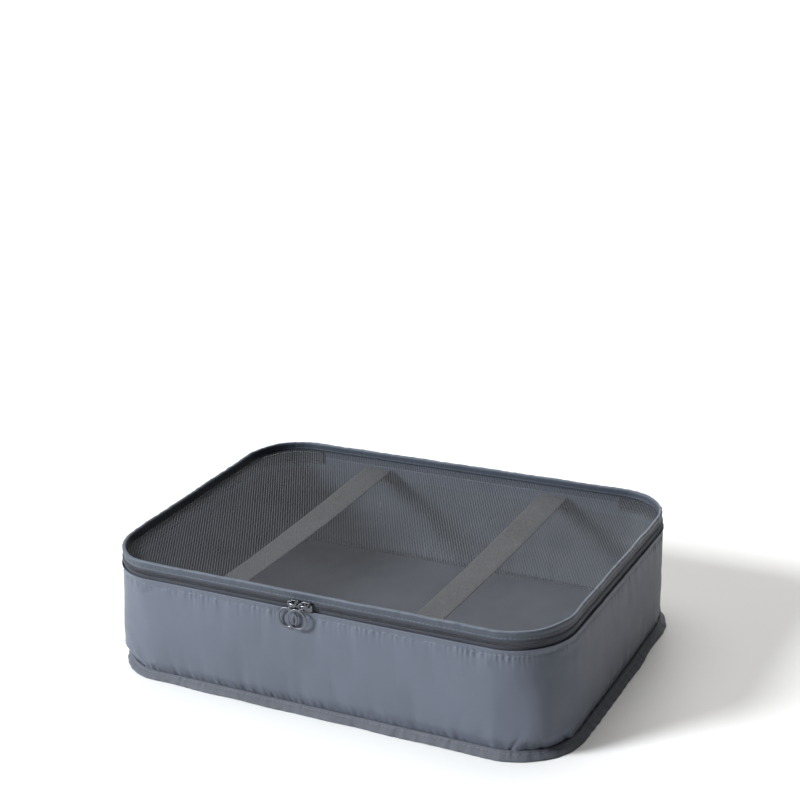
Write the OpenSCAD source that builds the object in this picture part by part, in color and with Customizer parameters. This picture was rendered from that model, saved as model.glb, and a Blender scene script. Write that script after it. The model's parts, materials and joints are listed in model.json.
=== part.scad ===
// Packing cube: a soft zipped box with a see-through mesh lid, two holding straps inside,
// a two-slider coil zipper with ring pulls, and a webbing carry handle on its hinge side.
// Frame: millimetres, +Z up. The origin is the centre of the base, on the surface it rests on.
// The zipper front faces -Y and the hinge side faces +Y.
// "Outset" below is a distance out from the outer face of the walls; inside is negative.

/* [Body] */
// Length of the walls along X
body_l = 400; // [300:1:450]
// Depth of the walls along Y
body_w = 277; // [220:1:320]
// Height to the top of the lid's rim
body_h = 104.5; // [85:0.5:150]
// Radius of the upright corners
corner_r = 48; // [30:1:60]
// Thickness of the wall and base fabric
panel_t = 1.6; // [1.2:0.1:2]

/* [Bottom binding] */
// How far the bound bottom seam stands out
skirt_out = 6.8; // [4:0.1:9]
// Height of its seam on the wall
skirt_h = 5.5; // [4:0.1:8]
// Thickness of its free edge
skirt_edge = 1.6; // [1:0.1:2.5]

/* [Lid] */
// Height of the bound rim
rim_h = 7; // [5:0.5:9]
// Thickness of the bound rim
rim_t = 3; // [2:0.1:4]
// How far the rim stands in from the wall's face
rim_in = 0.4; // [0.2:0.1:1]
// Thickness of the mesh
mesh_t = 0.8; // [0.6:0.1:1.2]

/* [Zipper] */
// Height of the zipper band that shows between the hem and the rim
band_h = 7.5; // [7.3:0.1:9]
// Height above the hem at which the two halves of the coil mesh
mesh_line = 4.3; // [4:0.1:4.6]
// Width of one half of the coil
coil_w = 1.5; // [1.2:0.1:1.8]
// Thickness of the tapes
tape_t = 1; // [0.6:0.1:1.2]
// How far the tapes stand in from the wall's face
tape_in = 0.6; // [0.4:0.1:0.8]

/* [Sliders] */
// Length of a slider body along the zipper
slider_l = 10; // [9:0.5:12]
// Width of a slider's front plate
slider_w = 8.2; // [7:0.1:9]
// Space between the two sliders when the zipper is shut
slider_gap = 0.6; // [0.4:0.1:2]
// Place along X where the two sliders meet
meet_x = -6.9; // [-60:0.1:60]
// Radius of the bridge posts
post_r = 0.6; // [0.5:0.05:0.8]
// Distance between a slider's two posts
post_gap = 6; // [5:0.1:7]

/* [Ring pulls] */
// Outer radius of the ring
ring_r = 9.2; // [7:0.1:11]
// Width of the ring's metal
ring_band = 2.2; // [1.6:0.1:3]
// Distance from the post to the ring's centre
pull_l = 14.2; // [13:0.1:17]
// Thickness of a pull
pull_t = 1; // [0.8:0.1:1.2]
// Lean of the left pull from the vertical, in degrees
lean_left = 16; // [0:1:30]
// Lean of the right pull from the vertical, in degrees
lean_right = 22; // [0:1:30]

/* [Straps] */
// Width of the two elastic holding straps
strap_w = 25; // [20:1:40]
// Thickness of the straps
strap_t = 1.2; // [1:0.1:2]
// Distance of each strap from the middle
strap_x = 87; // [60:1:110]
// Length of the sewn end that lies on the wall
strap_leg = 16; // [10:1:25]

/* [Handle] */
// Length of the handle between its sewn ends
handle_l = 140; // [110:5:160]
// Width of the webbing
handle_w = 12; // [10:1:20]
// Thickness of the webbing
handle_t = 2; // [1.5:0.1:3]
// Rise of the arch
handle_rise = 22; // [18:1:30]
// Height of the handle's line on the hinge wall
handle_z = 48; // [40:1:55]
// Droop of the handle below the level at rest, in degrees
handle_droop = 40; // [0:5:60]

/* [Hidden] */
$fn = 64;
gap = 0.3;
half_l = body_l / 2;
half_w = body_w / 2;
flat_x = half_l - corner_r;             // where the straight walls end and the corners start
flat_y = half_w - corner_r;
rim_z = body_h - rim_h;                 // foot of the bound rim
hem_z = rim_z - band_h;                 // top edge of the walls
meet_z = hem_z + mesh_line;             // line where the two coils mesh, and the lid's fold line
fold_z = meet_z - gap / 2;
plate_out = 1.1;                        // outset of a slider's front plate
plate_t = 1.2;
lip_in = 0.6;                           // depth of the lips on the front plate's long edges
lip_w = 0.8;
back_plate_t = 1;
post_out = plate_out + plate_t;         // outset where the posts leave the front plate
bar_out = post_out + 2 * pull_t + 3 * gap;
bar_t = 0.9;
left_x = meet_x - (slider_gap + slider_l) / 2;
right_x = meet_x + (slider_gap + slider_l) / 2;
eye_r = 2.8;
eye_hole_r = 1.6;
eye_drop = 0.9;                         // the loose eye hangs this far below the post's centre
post_up = 1.9;                          // height of the posts above the meshing line
neck_w = 2.4;
lug_r = handle_w / 2;
handle_out = lug_r + gap;               // outset of the line that the handle swings about
lug_t = 2;
foot = 1;                               // the webbing's ends sit this far inside the lugs
patch_l = 20;                           // length of the handle's sewn patches
cap_l = 10;
cap_t = 0.6;
strap_drop = 0.6;                       // the straps lie this far below the hem
cap_drop = 6;

// ---- shared shapes ----

// The walls' outline moved out by a distance
module outline(outset) {
    r = corner_r + outset;
    square([2 * flat_x, body_w + 2 * outset], center = true);
    square([body_l + 2 * outset, 2 * flat_y], center = true);
    for (sx = [-1, 1], sy = [-1, 1])
        translate([sx * flat_x, sy * flat_y]) circle(r);
}

// A band that follows the whole outline
module ring(outset_in, outset_out, z0, z1)
    translate([0, 0, z0]) linear_extrude(z1 - z0) difference() {
        outline(outset_out);
        outline(outset_in);
    }

// The straight part of the hinge side, where there is no zipper
module hinge_zone(z0, z1)
    translate([-flat_x, 0, z0 - 1]) cube([2 * flat_x, body_w, z1 - z0 + 2]);

// A band along the zipper: the front, both ends and all four corners
module zip_run(outset_in, outset_out, z0, z1)
    difference() {
        ring(outset_in, outset_out, z0, z1);
        hinge_zone(z0, z1);
    }

// A band along the hinge side only
module hinge_run(outset_in, outset_out, z0, z1)
    translate([-flat_x, half_w + outset_in, z0])
        cube([2 * flat_x, outset_out - outset_in, z1 - z0]);

// A profile of outset and height points, swept round the outline
module sweep_profile(points) {
    for (a = [0, 180]) rotate(a) {
        translate([half_l, flat_y, 0]) rotate([90, 0, 0]) linear_extrude(2 * flat_y) polygon(points);
        translate([-flat_x, half_w, 0]) rotate([90, 0, 90]) linear_extrude(2 * flat_x) polygon(points);
        for (side = [0, 1]) mirror([side, 0, 0])
            translate([flat_x, flat_y, 0]) rotate_extrude(angle = 90) translate([corner_r, 0]) polygon(points);
    }
}

// Puts its children on the front wall: x along the wall, y up, z outwards
module on_front(x, z)
    translate([x, -half_w, z]) rotate([90, 0, 0]) children();

// ---- case ----

module base_panel()
    color("slategray") linear_extrude(panel_t) outline(0);

module wall_band()
    color("slategray") zip_run(-panel_t, 0, panel_t, hem_z);

module wall_back()
    color("slategray") hinge_run(-panel_t, 0, panel_t, fold_z);

module bottom_binding()
    color("lightslategray")
        sweep_profile([[0, 0], [skirt_out, 0], [skirt_out, skirt_edge], [0, skirt_h]]);

module lower_zip_tape()
    color("dimgray") zip_run(-tape_in - tape_t, -tape_in, hem_z, fold_z);

module lower_zip_coil()
    color("darkslategray") zip_run(-tape_in, 0, fold_z - coil_w, fold_z);

// A small fabric cap over the end of the zipper, at the foot of the hinge fold
module zip_end_cap(side)
    color("slategray")
        translate([side * flat_x - cap_l / 2, half_w, hem_z - cap_drop])
            cube([cap_l, cap_t, fold_z - hem_z + cap_drop]);

// An elastic strap from front to back, with both ends sewn down the walls
module strap(side)
    color("dimgray") {
        reach = body_w - 2 * panel_t;
        top = hem_z - strap_drop;
        translate([side * strap_x - strap_w / 2, -reach / 2, top - strap_t])
            cube([strap_w, reach, strap_t]);
        for (end = [0, 1]) mirror([0, end, 0])
            translate([side * strap_x - strap_w / 2, reach / 2 - strap_t, top - strap_leg])
                cube([strap_w, strap_t, strap_leg - strap_t]);
    }

// The handle's sewn end: a flat patch on the wall with a lug that the arch turns beside
module handle_tab(side)
    color("lightslategray") {
        start = handle_l / 2 + gap;
        mirror([side < 0 ? 1 : 0, 0, 0]) {
            translate([start, half_w, handle_z - handle_w / 2]) cube([patch_l, handle_t, handle_w]);
            translate([start, half_w + handle_out, handle_z]) rotate([0, 90, 0]) cylinder(lug_t, lug_r, lug_r);
            translate([start, half_w, handle_z - handle_w / 2]) cube([lug_t, handle_out, handle_w]);
        }
    }

// ---- handle ----

module handle_webbing()
    color("lightslategray") translate([0, half_w + handle_out, handle_z]) rotate([-handle_droop, 0, 0]) {
        chord = handle_l / 2 - lug_t - handle_t;
        arc_r = (chord * chord + handle_rise * handle_rise) / (2 * handle_rise);
        translate([0, 0, -handle_w / 2 + foot]) linear_extrude(handle_w - 2 * foot) intersection() {
            translate([0, handle_rise - arc_r]) difference() {
                circle(arc_r + handle_t, $fn = 128);
                circle(arc_r, $fn = 128);
            }
            translate([foot - handle_l / 2, -foot])
                square([handle_l - 2 * foot, handle_rise + handle_t + foot]);
        }
        for (side = [0, 1]) mirror([side, 0, 0])
            translate([handle_l / 2 - lug_t, 0, 0]) rotate([0, 90, 0]) cylinder(lug_t, lug_r, lug_r);
    }

// ---- lid ----

module mesh_panel()
    color("silver", 0.5) translate([0, 0, rim_z]) linear_extrude(mesh_t) outline(-rim_in - rim_t);

module rim_binding()
    color("steelblue") ring(-rim_in - rim_t, -rim_in, rim_z, body_h);

// The fabric above the fold line, which turns with the lid
module hinge_strip()
    color("slategray") hinge_run(-panel_t, -tape_in, meet_z + gap / 2, rim_z);

module upper_zip_tape()
    color("dimgray") zip_run(-tape_in - tape_t, -tape_in, meet_z + gap / 2, rim_z);

module upper_zip_coil()
    color("darkslategray")
        zip_run(-tape_in, 0, meet_z + gap / 2, meet_z + gap / 2 + coil_w);

// ---- sliders and ring pulls ----

// A front plate with lips over the coil, and a back plate inside. The wide end faces the other slider.
module slider_body(x, wide_end)
    color("dimgray") on_front(x, meet_z) {
        l = slider_l / 2;
        w = slider_w / 2;
        tail_w = w - 1;
        tail_l = 3;
        side = wide_end;
        chamfer = 0.8;
        translate([0, 0, plate_out]) linear_extrude(plate_t)
            polygon([[side * l, chamfer - w], [side * (l - chamfer), -w], [side * (tail_l - l), -w],
                     [-side * l, -tail_w], [-side * l, tail_w], [side * (tail_l - l), w],
                     [side * (l - chamfer), w], [side * l, w - chamfer]]);
        for (s = [-1, 1])
            translate([side * (tail_l - chamfer) / 2, s * (w - lip_w / 2), plate_out - lip_in / 2])
                cube([slider_l - tail_l - chamfer, lip_w, lip_in], center = true);
        translate([-l, -w + 1, -tape_in - tape_t - gap - back_plate_t])
            cube([slider_l, slider_w - 2, back_plate_t]);
    }

// The bridge that the pull hangs on: two posts and a bar
module slider_bridge(x)
    color("gray") on_front(x, meet_z + post_up) {
        for (s = [-1, 1])
            translate([s * post_gap / 2, 0, post_out]) cylinder(bar_out - post_out, post_r, post_r, $fn = 32);
        translate([0, 0, bar_out]) linear_extrude(bar_t) {
            square([post_gap, 2 * post_r + 0.6], center = true);
            for (s = [-1, 1]) translate([s * post_gap / 2, 0]) circle(post_r + 0.3, $fn = 32);
        }
    }

// A flat ring with a small eye, hung on the slider's left post
module ring_pull(x, lean, outset)
    color("gray") on_front(x - post_gap / 2, meet_z + post_up)
        translate([0, 0, outset]) rotate(-lean) linear_extrude(pull_t) difference() {
            union() {
                translate([0, -eye_drop]) circle(eye_r);
                translate([0, -pull_l]) circle(ring_r);
                translate([-neck_w / 2, -pull_l + ring_r - ring_band / 2])
                    square([neck_w, pull_l - ring_r + ring_band / 2 - eye_drop]);
            }
            translate([0, -eye_drop]) circle(eye_hole_r);
            translate([0, -pull_l]) circle(ring_r - ring_band);
        }

base_panel();
wall_band();
wall_back();
bottom_binding();
lower_zip_tape();
lower_zip_coil();
zip_end_cap(-1);  // zip_end_cap_left
zip_end_cap(1);  // zip_end_cap_right
strap(-1);  // strap_left
strap(1);  // strap_right
handle_tab(-1);  // handle_tab_left
handle_tab(1);  // handle_tab_right
handle_webbing();
mesh_panel();
rim_binding();
hinge_strip();
upper_zip_tape();
upper_zip_coil();
slider_body(left_x, 1);  // slider_left
slider_bridge(left_x);  // bridge_left
ring_pull(left_x, lean_left, post_out + gap);  // pull_left
slider_body(right_x, -1);  // slider_right
slider_bridge(right_x);  // bridge_right
ring_pull(right_x, lean_right, post_out + pull_t + 2 * gap);  // pull_right
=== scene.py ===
"""A packing cube: its fabric, mesh, zipper, metal and webbing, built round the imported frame.

Everything is in metres in the frame of the part: +Z up, the zipper front at -Y, the hinge side at +Y.
"s" is a distance along the outline of the walls, seen from above: it starts at the left end of the hinge
side and runs down the left end, along the front, up the right end and back along the hinge side.
"Outset" is a distance out from the outer face of the walls, so inside is negative.
"""
import json
from math import ceil, cos, pi, radians, sin, sqrt

import bpy
import numpy as np
from mathutils import Matrix, Vector


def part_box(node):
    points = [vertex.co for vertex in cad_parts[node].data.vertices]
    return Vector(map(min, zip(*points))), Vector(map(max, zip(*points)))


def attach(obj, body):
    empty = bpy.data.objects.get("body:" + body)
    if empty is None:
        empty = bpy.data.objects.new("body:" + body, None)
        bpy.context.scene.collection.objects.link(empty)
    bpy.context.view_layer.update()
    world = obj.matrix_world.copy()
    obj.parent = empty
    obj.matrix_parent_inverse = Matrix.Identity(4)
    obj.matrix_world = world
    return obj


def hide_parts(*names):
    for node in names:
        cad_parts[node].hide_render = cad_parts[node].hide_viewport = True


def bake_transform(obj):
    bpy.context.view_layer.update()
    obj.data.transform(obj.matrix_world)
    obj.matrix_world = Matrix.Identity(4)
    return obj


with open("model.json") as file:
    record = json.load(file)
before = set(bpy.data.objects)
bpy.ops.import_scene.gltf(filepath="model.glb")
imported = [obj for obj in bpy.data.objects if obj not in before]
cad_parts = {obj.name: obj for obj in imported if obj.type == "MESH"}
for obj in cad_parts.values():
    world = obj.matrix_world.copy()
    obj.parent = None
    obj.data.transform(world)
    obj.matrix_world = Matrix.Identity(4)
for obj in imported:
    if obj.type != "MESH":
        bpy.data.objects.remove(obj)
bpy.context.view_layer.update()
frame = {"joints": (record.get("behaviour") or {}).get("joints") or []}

MM = 0.001
SEED = 7

# ---- sizes, read from the frame

HALF_L, HALF_W, HEM_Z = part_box("wall_band")[1]
FLAT_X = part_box("wall_back")[1].x
CORNER_R = HALF_L - FLAT_X
FLAT_Y = HALF_W - CORNER_R
MEET_Z = (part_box("lower_zip_tape")[1].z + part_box("upper_zip_tape")[0].z) / 2
RIM_Z, TOP_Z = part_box("rim_binding")[0].z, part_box("rim_binding")[1].z
RIM_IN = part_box("mesh_panel")[1].y - HALF_W
SEAM_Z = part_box("bottom_binding")[1].z
SKIRT_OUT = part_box("bottom_binding")[1].y - HALF_W

ARC = pi / 2 * CORNER_R
ROUND = 4 * (FLAT_X + FLAT_Y + ARC)
ZIP_END = ROUND - 2 * FLAT_X             # the zipper runs from s = 0 to here
FRONT_MID = 2 * ARC + 2 * FLAT_Y + FLAT_X
BACK_MID = ROUND - FLAT_X
UP = np.array([0.0, 0.0, 1.0])


def pivot(joint):
    """A point on a joint's axis."""
    return next(j for j in frame["joints"] if j["name"] == joint)["pos_m"]


def outline(s):
    """Points on the walls' outline at distances s along it, and the directions out of it."""
    s = np.asarray(s, float) % ROUND
    point, out = np.zeros((*s.shape, 2)), np.zeros((*s.shape, 2))
    start = 0
    centres = [(-FLAT_X, FLAT_Y), (-FLAT_X, -FLAT_Y), (FLAT_X, -FLAT_Y), (FLAT_X, FLAT_Y)]
    for k, centre in enumerate(centres):
        straight = 2 * (FLAT_Y if k % 2 == 0 else FLAT_X)
        here = (s >= start) & (s < start + ARC + straight)
        along = s[here] - start
        angle = pi / 2 * (k + 1) + np.minimum(along, ARC) / CORNER_R
        normal = np.stack([np.cos(angle), np.sin(angle)], -1)
        ahead = np.stack([-np.sin(angle), np.cos(angle)], -1)
        out[here] = normal
        point[here] = np.array(centre) + CORNER_R * normal + np.maximum(along - ARC, 0)[:, None] * ahead
        start += ARC + straight
    return point, out


def place(s, outset, z):
    """Points from distances along the outline, outsets and heights."""
    s, outset, z = np.broadcast_arrays(s, outset, z)
    point, out = outline(s)
    return np.concatenate([point + out * outset[..., None], z[..., None]], -1)


def out_of_wall(s):
    """Directions straight out of the walls, level."""
    return np.insert(outline(s)[1], 2, 0, axis=-1)


def s_at(x, side):
    """The distance along the outline of a place on the front or the back."""
    return FRONT_MID + x if side == "front" else BACK_MID - x


def round_part(count):
    """Distances along the outline of that many points, evenly round the part."""
    return np.arange(count) * ROUND / count


# ---- small mathematics

def smooth(t):
    t = np.clip(t, 0, 1)
    return t * t * (3 - 2 * t)


def bump(t, centre, width):
    return np.exp(-((t - centre) / width) ** 2)


def steps(start, end, step):
    return np.linspace(start, end, max(2, round((end - start) / step) + 1))


def unit(vectors):
    return vectors / np.linalg.norm(vectors, axis=-1, keepdims=True)


def ripple(s, shortest, longest, seed, count=20):
    """Seeded noise round the outline, about -1 to 1, of waves between two lengths in millimetres."""
    rng = np.random.default_rng(SEED + seed)
    waves = rng.integers(round(ROUND / (longest * MM)), round(ROUND / (shortest * MM)) + 1, count)
    phases = rng.uniform(0, 2 * pi, count)
    parts = np.sin(np.multiply.outer(np.asarray(s, float), 2 * pi * waves / ROUND) + phases)
    return parts.mean(-1) * sqrt(2 * count) / 2


def swell(x, y, length, seed, count=14):
    """Seeded noise over a surface, about -1 to 1, of waves about that long in millimetres."""
    rng = np.random.default_rng(SEED + seed)
    total = 0
    for _ in range(count):
        turn, phase = rng.uniform(0, 2 * pi, 2)
        size = length * MM * rng.uniform(0.7, 1.5)
        total = total + np.sin((x * cos(turn) + y * sin(turn)) * 2 * pi / size + phase)
    return total / sqrt(count / 2) / 2


def cubic(field, a, b):
    """Reads a grid smoothly between its points, at rows a, which close round, and columns b."""
    def parts(t):
        return [(-t + 2 * t**2 - t**3) / 2, (2 - 5 * t**2 + 3 * t**3) / 2,
                (t + 4 * t**2 - 3 * t**3) / 2, (-t**2 + t**3) / 2]
    row, column = np.floor(a).astype(int), np.floor(b).astype(int)
    total = 0
    for k, row_part in enumerate(parts(a - row)):
        for m, column_part in enumerate(parts(b - column)):
            rows = (row + k - 1) % field.shape[0]
            columns = np.clip(column + m - 1, 0, field.shape[1] - 1)
            total = total + (row_part * column_part)[..., None] * field[rows, columns]
    return total


# ---- meshes

def added(name, data):
    """A new object in the scene."""
    obj = bpy.data.objects.new(name, data)
    bpy.context.scene.collection.objects.link(obj)
    return obj


def piece(name, points, faces, material, corner_uv=None):
    """A mesh object. corner_uv gives one texture place, in metres, for each corner of each face in turn."""
    mesh = bpy.data.meshes.new(name)
    mesh.from_pydata(np.asarray(points).reshape(-1, 3).tolist(), [], [list(f) for f in faces])
    if corner_uv is not None:
        layer = mesh.uv_layers.new(name="UVMap")
        layer.data.foreach_set("uv", np.asarray(corner_uv, np.float32).ravel())
    mesh.polygons.foreach_set("use_smooth", [True] * len(mesh.polygons))
    mesh.materials.append(material)
    mesh.update()
    return added(name, mesh)


def grid(rows, columns, closed_rows=False, closed_columns=False):
    """The faces of a grid of points, and each corner's row and column, which run on past a join."""
    i, j = np.meshgrid(np.arange(rows if closed_rows else rows - 1),
                       np.arange(columns if closed_columns else columns - 1), indexing="ij")
    i, j = i.ravel(), j.ravel()
    corner_i = np.stack([i, i + 1, i + 1, i], -1)
    corner_j = np.stack([j, j, j + 1, j + 1], -1)
    return (corner_i % rows) * columns + corner_j % columns, corner_i, corner_j


def lengths(points, closed=False):
    """Distances along a line of points, with one more for a closed line."""
    points = np.concatenate([points, points[:1]]) if closed else points
    return np.concatenate([[0], np.cumsum(np.linalg.norm(np.diff(points, axis=0), axis=-1))])


def tube(name, points, along, shapes, material, closed=False, flip=False):
    """A surface through rows of points, each row a closed shape, with end faces unless it closes on itself.
    Its texture runs with the distances along the rows and round the shape."""
    count, size = points.shape[:2]
    faces, i, j = grid(count, size, closed, True)
    uv = np.stack([along[i], lengths(shapes[0], closed=True)[j]], -1)
    order = slice(None, None, -1 if flip else 1)
    faces, uv = faces[:, order].tolist(), uv[:, order].reshape(-1, 2)
    if not closed:
        ends = np.arange(count * size).reshape(count, size)[[0, -1]]
        faces += [ends[0][order].tolist(), ends[1][::-1][order].tolist()]
        uv = np.concatenate([uv, shapes[0][order], shapes[-1][::-1][order]])
    return piece(name, points, faces, material, uv)


def sweep(name, s, profile, material, closed_path=True):
    """Closed profiles of outsets and heights, one for each s, joined along the outline."""
    points = place(s[:, None], profile[..., 0], profile[..., 1])
    return tube(name, points, np.append(s, s[0] + ROUND), profile, material, closed_path)


def strap_along(name, path, width_way, width, thick, material):
    """A flat strap with round edges along a path. width_way points across it, at each point of the path."""
    ahead = unit(np.gradient(path, axis=0))
    across = unit(width_way - ahead * (width_way * ahead).sum(1)[:, None])
    up = np.cross(ahead, across)
    half, r = width / 2, thick / 2
    turn = np.linspace(-pi / 2, pi / 2, 5)
    face = np.linspace(-1, 1, 9)[1:-1] * (half - r)
    upper = np.array([(half - r + r * cos(a), r * sin(a)) for a in turn] + [(x, r) for x in face[::-1]])
    shape = np.concatenate([upper, -upper])
    points = path[:, None] + across[:, None] * shape[:, :1] + up[:, None] * shape[:, 1:]
    return tube(name, points, lengths(path), [shape], material, flip=True)


def capsule(length, width, height, sides=6):
    """A rounded bar along X, as points and faces, for stitches and zipper teeth."""
    rings = [(-0.5, 0.45), (-0.36, 0.9), (0, 1), (0.36, 0.9), (0.5, 0.45)]
    turn = np.arange(sides) * 2 * pi / sides
    points = [(length * x, width / 2 * r * cos(a), height / 2 * r * sin(a)) for x, r in rings for a in turn]
    faces = grid(len(rings), sides, False, True)[0][:, [0, 3, 2, 1]].tolist()
    faces += [list(range(sides))[::-1], list(range((len(rings) - 1) * sides, len(rings) * sides))]
    return np.array(points), faces


def many(name, form, places, ways, material):
    """Copies of a small form in one mesh. ways holds each copy's axes, as the columns of a matrix."""
    points, faces = form
    moved = np.einsum("nij,pj->npi", ways, points) + places[:, None]
    copies = [[k * len(points) + v for v in f] for k in range(len(places)) for f in faces]
    return piece(name, moved, copies, material)


def frames_of(places, out, tilt):
    """Axes for a row of places, along the row and out of the surface, each tilted a little in it."""
    ahead = np.gradient(places, axis=0)
    ahead = unit(ahead - out * (ahead * out).sum(1)[:, None])
    side = np.cross(out, ahead)
    c, k = np.cos(tilt)[:, None], np.sin(tilt)[:, None]
    return np.stack([ahead * c + side * k, side * c - ahead * k, out], -1)


def belongs(obj, body, slot, *nodes):
    """Puts a piece on a body, in place of the CAD nodes that it stands for. The slot is not used."""
    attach(obj, body)
    if nodes:
        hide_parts(*nodes)


# ---- materials

class Nodes:
    """Builds the node tree of a material, or of the world, by short calls."""

    def __init__(self, owner, shader="Principled BSDF"):
        self.owner = owner
        owner.use_nodes = True
        self.tree = owner.node_tree
        self.shader = self.tree.nodes[shader]

    def feed(self, socket, value):
        """Links a socket to another one, or sets it to a value."""
        if isinstance(value, bpy.types.NodeSocket):
            self.tree.links.new(value, socket)
        else:
            socket.default_value = value

    def add(self, kind, inputs=(), **settings):
        node = self.tree.nodes.new(kind)
        for key, value in settings.items():
            setattr(node, key, value)
        for key, value in dict(inputs).items():
            self.feed(node.inputs[key], value)
        return node

    def math(self, operation, a, b=0.0):
        return self.add("ShaderNodeMath", {0: a, 1: b}, operation=operation).outputs[0]

    def uv(self):
        """The texture place along a piece and across it, in metres."""
        split = self.add("ShaderNodeSeparateXYZ", {0: self.add("ShaderNodeUVMap", uv_map="UVMap").outputs[0]})
        return split.outputs[0], split.outputs[1]

    def place_part(self, system, letter):
        """One coordinate of a place in the part ("Object"), or of a ray's way in the world ("Generated")."""
        where = self.add("ShaderNodeTexCoord").outputs[system]
        return self.add("ShaderNodeSeparateXYZ", {0: where}).outputs[letter]

    def noise(self, size, detail=2.0, stretch=None):
        """Noise about that large in metres, from 0 to 1, by place in the part."""
        where = self.add("ShaderNodeTexCoord").outputs["Object"]
        if stretch:
            where = self.add("ShaderNodeMapping", {"Vector": where, "Scale": stretch}).outputs[0]
        inputs = {"Vector": where, "Scale": 1 / size, "Detail": detail}
        return self.add("ShaderNodeTexNoise", inputs).outputs[0]

    def ramp(self, value, *stops):
        node = self.add("ShaderNodeValToRGB", {0: value})
        while len(node.color_ramp.elements) < len(stops):
            node.color_ramp.elements.new(0.5)
        for element, (at, colour) in zip(node.color_ramp.elements, stops):
            element.position, element.color = at, (*colour, 1)
        return node.outputs[0]

    def map(self, value, low, high, from_low=0.0, from_high=1.0):
        inputs = {0: value, 1: from_low, 2: from_high, 3: low, 4: high}
        return self.add("ShaderNodeMapRange", inputs).outputs[0]

    def bumps(self, *heights):
        """Bump from heights, each with its depth in metres."""
        normal = None
        for height, depth in heights:
            inputs = {"Height": height, "Distance": depth, "Strength": 1.0}
            if normal:
                inputs["Normal"] = normal
            normal = self.add("ShaderNodeBump", inputs).outputs[0]
        self.set(Normal=normal)

    def set(self, **values):
        """Sets or links the shader's own sockets."""
        for key, value in values.items():
            self.feed(self.shader.inputs[key.replace("_", " ")], value)
        return self.owner


def material_nodes(name):
    return Nodes(bpy.data.materials.new(name))


def shade(colour, factor):
    return tuple(c * factor for c in colour)


def wave(n, value, pitch):
    """A smooth ridge for every pitch of the value, from 0 to 1."""
    sine = n.math("SINE", n.math("MULTIPLY", value, 2 * pi / pitch))
    return n.map(sine, 0.0, 1.0, -1.0, 1.0)


def weave_height(n, kind, pitch):
    """The height of a weave, from 0 to 1: plain, ribbed, herringbone or else twill."""
    along, across = n.uv()
    if kind == "plain":
        return n.math("MULTIPLY", wave(n, along, pitch), wave(n, across, pitch))
    if kind == "ribbed":
        threads = n.map(wave(n, along, pitch * 0.45), 0.6, 1.0)
        return n.math("MULTIPLY", wave(n, across, pitch), threads)
    if kind == "herringbone":
        across = n.math("PINGPONG", across, 2 * pitch)
    return wave(n, n.math("ADD", along, across), pitch)


def fabric(name, colour, kind, pitch, depth, roughness, specular=0.4, sheen=0.15, heather=0.0, mottle=0.08,
           top_highlight=None):
    """Woven cloth: thread relief, its pitch and depth in millimetres, slow changes of tone, and for a melange
    yarn a fleck of light and dark.
    The last argument gives two heights between which a painted highlight lightens the cloth up to its top
    edge, and how much lighter it gets there."""
    n = material_nodes(name)
    weave = weave_height(n, kind, pitch * MM)
    tone = n.math("ADD", n.map(n.noise(0.09, 3.0), -mottle, mottle, 0.3, 0.7), n.map(weave, -0.07, 0.05))
    if heather:
        fleck = n.noise(0.0011, 3.0, stretch=(1.0, 0.35, 1.0))
        tone = n.math("ADD", tone, n.map(fleck, -heather, heather, 0.35, 0.65))
    low, high = shade(colour, 0.5), shade(colour, 1.5)
    base = n.ramp(n.map(tone, 0.0, 1.0, -0.5, 0.5), (0.0, low), (1.0, high))
    if top_highlight:
        # painted highlight: the cloth grows lighter towards its top edge, where light from above catches the
        # fold
        lighter = n.map(n.place_part("Object", "Z"), 1.0, top_highlight[2], top_highlight[0], top_highlight[1])
        base = n.add("ShaderNodeVectorMath", {0: base, "Scale": lighter}, operation="SCALE").outputs[0]
    worn = n.map(n.noise(0.02, 4.0), roughness - 0.05, roughness + 0.06, 0.3, 0.7)
    n.bumps((n.noise(0.006, 3.0), 0.12 * MM), (weave, depth * MM))
    return n.set(Base_Color=base, Roughness=worn, Specular_IOR_Level=specular, Sheen_Weight=sheen,
                 Sheen_Roughness=0.45)


def plastic(name, colour, roughness):
    """Smooth nylon with faint scuffs."""
    n = material_nodes(name)
    base = n.ramp(n.noise(0.004, 3.0), (0.3, shade(colour, 0.85)), (0.7, shade(colour, 1.2)))
    rough = n.map(n.noise(0.0015, 3.0), roughness - 0.06, roughness + 0.08, 0.3, 0.7)
    n.bumps((n.noise(0.0006, 2.0), 0.02 * MM))
    return n.set(Base_Color=base, Roughness=rough, Specular_IOR_Level=0.5)


def plated_metal(name, colour, roughness):
    """Plating, brighter on sharp outer edges and darker in hollows, with fine scratches and smudges."""
    n = material_nodes(name)
    edge = n.add("ShaderNodeNewGeometry").outputs["Pointiness"]
    edge_tone = n.map(edge, 0.0, 1.0, 0.5, 0.62)
    tone = n.math("ADD", n.map(n.noise(0.002, 4.0), 0.0, 0.5, 0.3, 0.7), edge_tone)
    base = n.ramp(tone, (0.1, shade(colour, 0.8)), (0.6, colour), (1.0, shade(colour, 1.9)))
    scratch = n.noise(0.0009, 4.0, stretch=(1.0, 1.0, 9.0))
    rough = n.map(n.math("ADD", scratch, n.noise(0.004, 2.0)), roughness - 0.08, roughness + 0.12, 0.7, 1.3)
    n.bumps((scratch, 0.008 * MM))
    return n.set(Base_Color=base, Roughness=rough, Metallic=1.0)


def thread(name, colour):
    """Sewing thread with a light and dark twist."""
    n = material_nodes(name)
    twist = n.noise(0.0004, 2.0)
    base = n.ramp(twist, (0.35, shade(colour, 0.72)), (0.65, shade(colour, 1.25)))
    n.bumps((twist, 0.04 * MM))
    return n.set(Base_Color=base, Roughness=0.6, Specular_IOR_Level=0.3, Sheen_Weight=0.2)


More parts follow.
